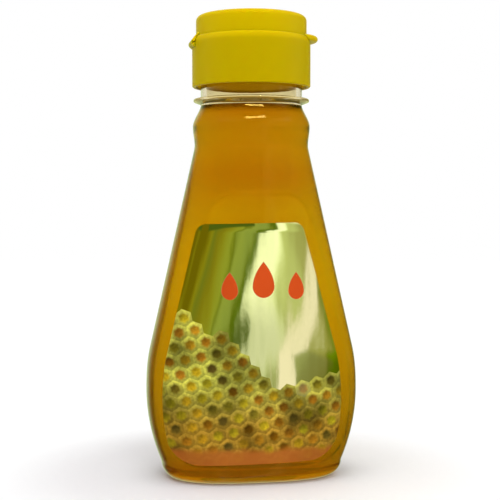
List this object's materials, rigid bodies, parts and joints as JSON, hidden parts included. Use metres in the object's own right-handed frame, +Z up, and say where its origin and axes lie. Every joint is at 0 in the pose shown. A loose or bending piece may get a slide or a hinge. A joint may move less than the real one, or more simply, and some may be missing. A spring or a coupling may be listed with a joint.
{
  "type": "squeeze bottle",
  "caption": "Clear oval squeeze bottle of honey with a foil label and a yellow screw cap whose lid flips open on a side hinge.",
  "frame": {"origin": "centre of the base, on the plane that the bottle stands on", "axes": "+Z up along the bottle and the neck, +X along the body's width towards the thumb tab, -Y out of the front label"},
  "size_m": [0.0734, 0.0439, 0.1599],
  "materials": {
    "clear_pet": "gloss",
    "honey": "gloss",
    "label_foil": "gloss",
    "seal_foil": "satin",
    "white_foam": "matte",
    "yellow_plastic": "satin"
  },
  "bodies": {
    "bottle": {"bottle": "clear_pet", "honey": "honey", "front_label": "label_foil", "foil_seal": "seal_foil"},
    "washer": {"seal_washer": "white_foam"},
    "cap": {"closure_base": "yellow_plastic", "hinge_films": "yellow_plastic", "snap_strap": "yellow_plastic"},
    "lid": {"lid": "yellow_plastic"}
  },
  "joints": [
    {"name": "closure_lift", "type": "slide", "parent": "bottle", "child": "washer", "axis": [0, 0, 1], "range_m": [0, 0.0064]},
    {"name": "closure_turn", "type": "hinge", "parent": "washer", "child": "cap", "pos_m": [0, 0, 0.1424], "axis": [0, 0, 1], "range_deg": [0, 540]},
    {"name": "lid_hinge", "type": "hinge", "parent": "cap", "child": "lid", "pos_m": [-0.02145, 0, 0.1503], "axis": [0, -1, 0], "range_deg": [0, 160], "deforming": ["hinge_films", "snap_strap"]}
  ],
  "couplings": [
    {"joint": "closure_lift", "follows": "closure_turn", "m_per_rad": 0.00066845}
  ]
}
